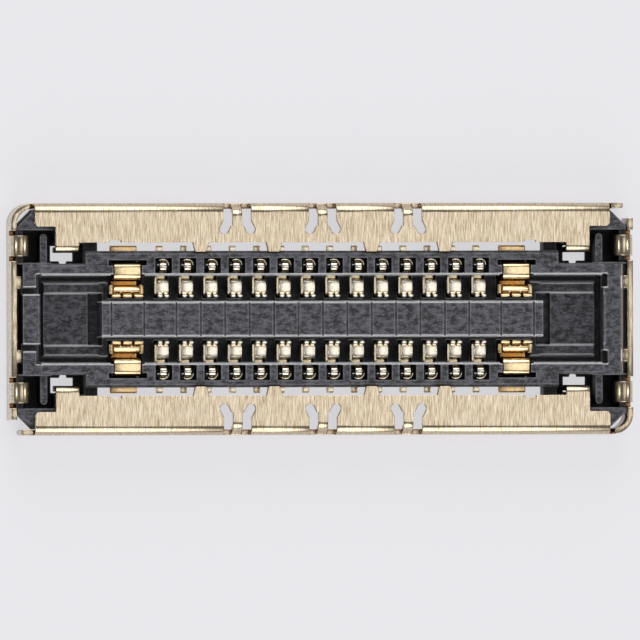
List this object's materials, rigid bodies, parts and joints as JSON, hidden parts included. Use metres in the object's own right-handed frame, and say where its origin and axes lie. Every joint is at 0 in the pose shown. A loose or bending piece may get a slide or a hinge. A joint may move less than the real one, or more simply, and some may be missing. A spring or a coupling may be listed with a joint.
{
  "type": "board to fpc connector receptacle",
  "caption": "Low-profile shielded board-to-FPC receptacle with two rows of sprung contacts, end power contacts and a centre island.",
  "frame": {"origin": "middle of the board plane under the connector", "axes": "+X along the contact rows, +Y across them, +Z away from the board, towards the mating plug"},
  "size_m": [0.009, 0.0032, 0.0007],
  "materials": {
    "moulding": "matte",
    "shield_sheet": "brushed",
    "signal_plating": "polished",
    "power_plating": "polished"
  },
  "bodies": {
    "root": {"housing": "moulding", "shield_back": "shield_sheet", "shield_front": "shield_sheet", "signal_contact_back_1": "signal_plating", "signal_contact_back_2": "signal_plating", "signal_contact_back_3": "signal_plating", "signal_contact_back_4": "signal_plating", "signal_contact_back_5": "signal_plating", "signal_contact_back_6": "signal_plating", "signal_contact_back_7": "signal_plating", "signal_contact_back_8": "signal_plating", "signal_contact_back_9": "signal_plating", "signal_contact_back_10": "signal_plating", "signal_contact_back_11": "signal_plating", "signal_contact_back_12": "signal_plating", "signal_contact_back_13": "signal_plating", "signal_contact_back_14": "signal_plating", "signal_contact_front_1": "signal_plating", "signal_contact_front_2": "signal_plating", "signal_contact_front_3": "signal_plating", "signal_contact_front_4": "signal_plating", "signal_contact_front_5": "signal_plating", "signal_contact_front_6": "signal_plating", "signal_contact_front_7": "signal_plating", "signal_contact_front_8": "signal_plating", "signal_contact_front_9": "signal_plating", "signal_contact_front_10": "signal_plating", "signal_contact_front_11": "signal_plating", "signal_contact_front_12": "signal_plating", "signal_contact_front_13": "signal_plating", "signal_contact_front_14": "signal_plating", "power_contact_back_left": "power_plating", "power_contact_back_right": "power_plating", "power_contact_front_left": "power_plating", "power_contact_front_right": "power_plating"}
  },
  "joints": []
}
